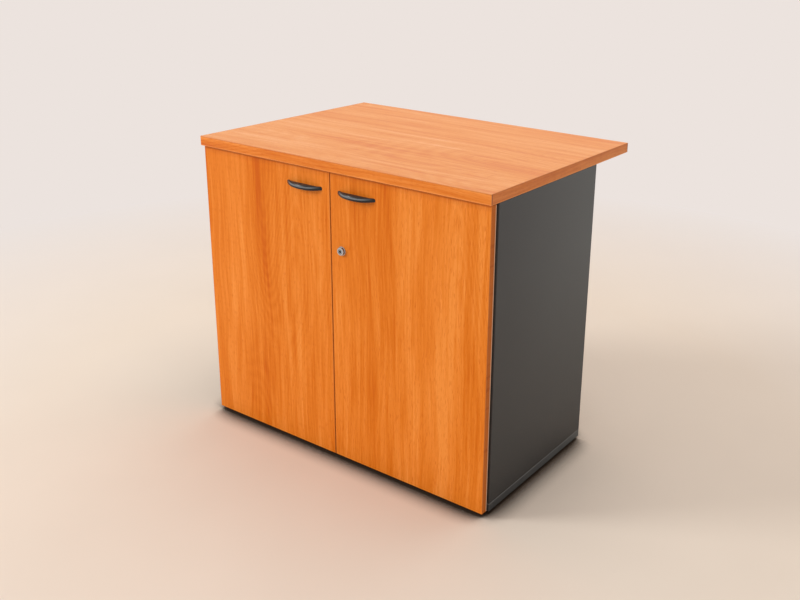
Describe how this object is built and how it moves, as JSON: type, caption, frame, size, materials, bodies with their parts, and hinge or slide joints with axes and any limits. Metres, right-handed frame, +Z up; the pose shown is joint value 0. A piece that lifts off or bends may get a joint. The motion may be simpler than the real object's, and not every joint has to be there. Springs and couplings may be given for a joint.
{
  "type": "two-door filing cabinet",
  "caption": "Low office cabinet with two hinged doors, bow pulls, a cam lock, an adjustable shelf and a top that overhangs at the back.",
  "frame": {"origin": "on the floor, below the middle of the overall width and depth, pulls included", "axes": "+X to the right along the front, +Y from the doors to the back, +Z up"},
  "size_m": [0.83, 0.61, 0.73],
  "materials": {
    "beech_top": "printed beech laminate, satin",
    "beech_door": "printed beech laminate, satin",
    "beech_edging": "printed beech edging strip",
    "graphite_board": "dark grey melamine, fine pearl texture",
    "black_plastic": "fine satin black",
    "nickel": "nickel-plated pressed steel",
    "zinc": "zinc-plated steel",
    "chrome": "polished plate",
    "brass": "turned",
    "dowel_wood": "fluted beech dowel",
    "clear_rubber": "clear soft dome"
  },
  "bodies": {
    "carcass": {"top_panel": "beech_top", "top_edging": "beech_top", "left_side_panel": "graphite_board", "right_side_panel": "graphite_board", "bottom_panel": "graphite_board", "back_panel": "graphite_board", "front_rail": "graphite_board", "rear_rail": "graphite_board", "shelf": "graphite_board", "shelf_pins": "zinc", "cam_fittings": "zinc", "cam_bolts": "zinc", "dowels": "dowel_wood", "glides": "black_plastic", "left_hinge_arms": "nickel", "right_hinge_arms": "nickel", "left_hinge_plates": "nickel", "right_hinge_plates": "nickel", "hinge_plate_screws": "zinc", "bolt_bush": "brass"},
    "left_door": {"left_door_panel": "beech_door", "left_door_edging": "beech_edging", "left_handle": "black_plastic", "left_handle_screws": "zinc", "left_hinge_cups": "nickel", "left_hinge_pins": "zinc", "left_cup_screws": "zinc", "left_door_buffers": "clear_rubber", "bolt_housing": "nickel", "strike_plate": "zinc"},
    "right_door": {"right_door_panel": "beech_door", "right_door_edging": "beech_edging", "right_handle": "black_plastic", "right_handle_screws": "zinc", "right_hinge_cups": "nickel", "right_hinge_pins": "zinc", "right_cup_screws": "zinc", "right_door_buffers": "clear_rubber", "lock_housing": "chrome", "lock_nut": "zinc"},
    "lock": {"lock_plug": "chrome", "lock_cam": "zinc", "lock_cam_screw": "zinc"},
    "bolt": {"sliding_bolt": "zinc"}
  },
  "joints": [
    {"name": "left_door_hinge", "type": "hinge", "parent": "carcass", "child": "left_door", "pos_m": [-0.404, -0.277, 0.365], "axis": [0, 0, -1], "range_deg": [0, 95]},
    {"name": "right_door_hinge", "type": "hinge", "parent": "carcass", "child": "right_door", "pos_m": [0.404, -0.277, 0.365], "axis": [0, 0, 1], "range_deg": [0, 95]},
    {"name": "lock_turn", "type": "hinge", "parent": "right_door", "child": "lock", "pos_m": [0.02175, -0.287, 0.53], "axis": [0, -1, 0], "range_deg": [0, 90]},
    {"name": "bolt_slide", "type": "slide", "parent": "left_door", "child": "bolt", "axis": [0, 0, 1], "range_m": [0, 0.012]}
  ]
}
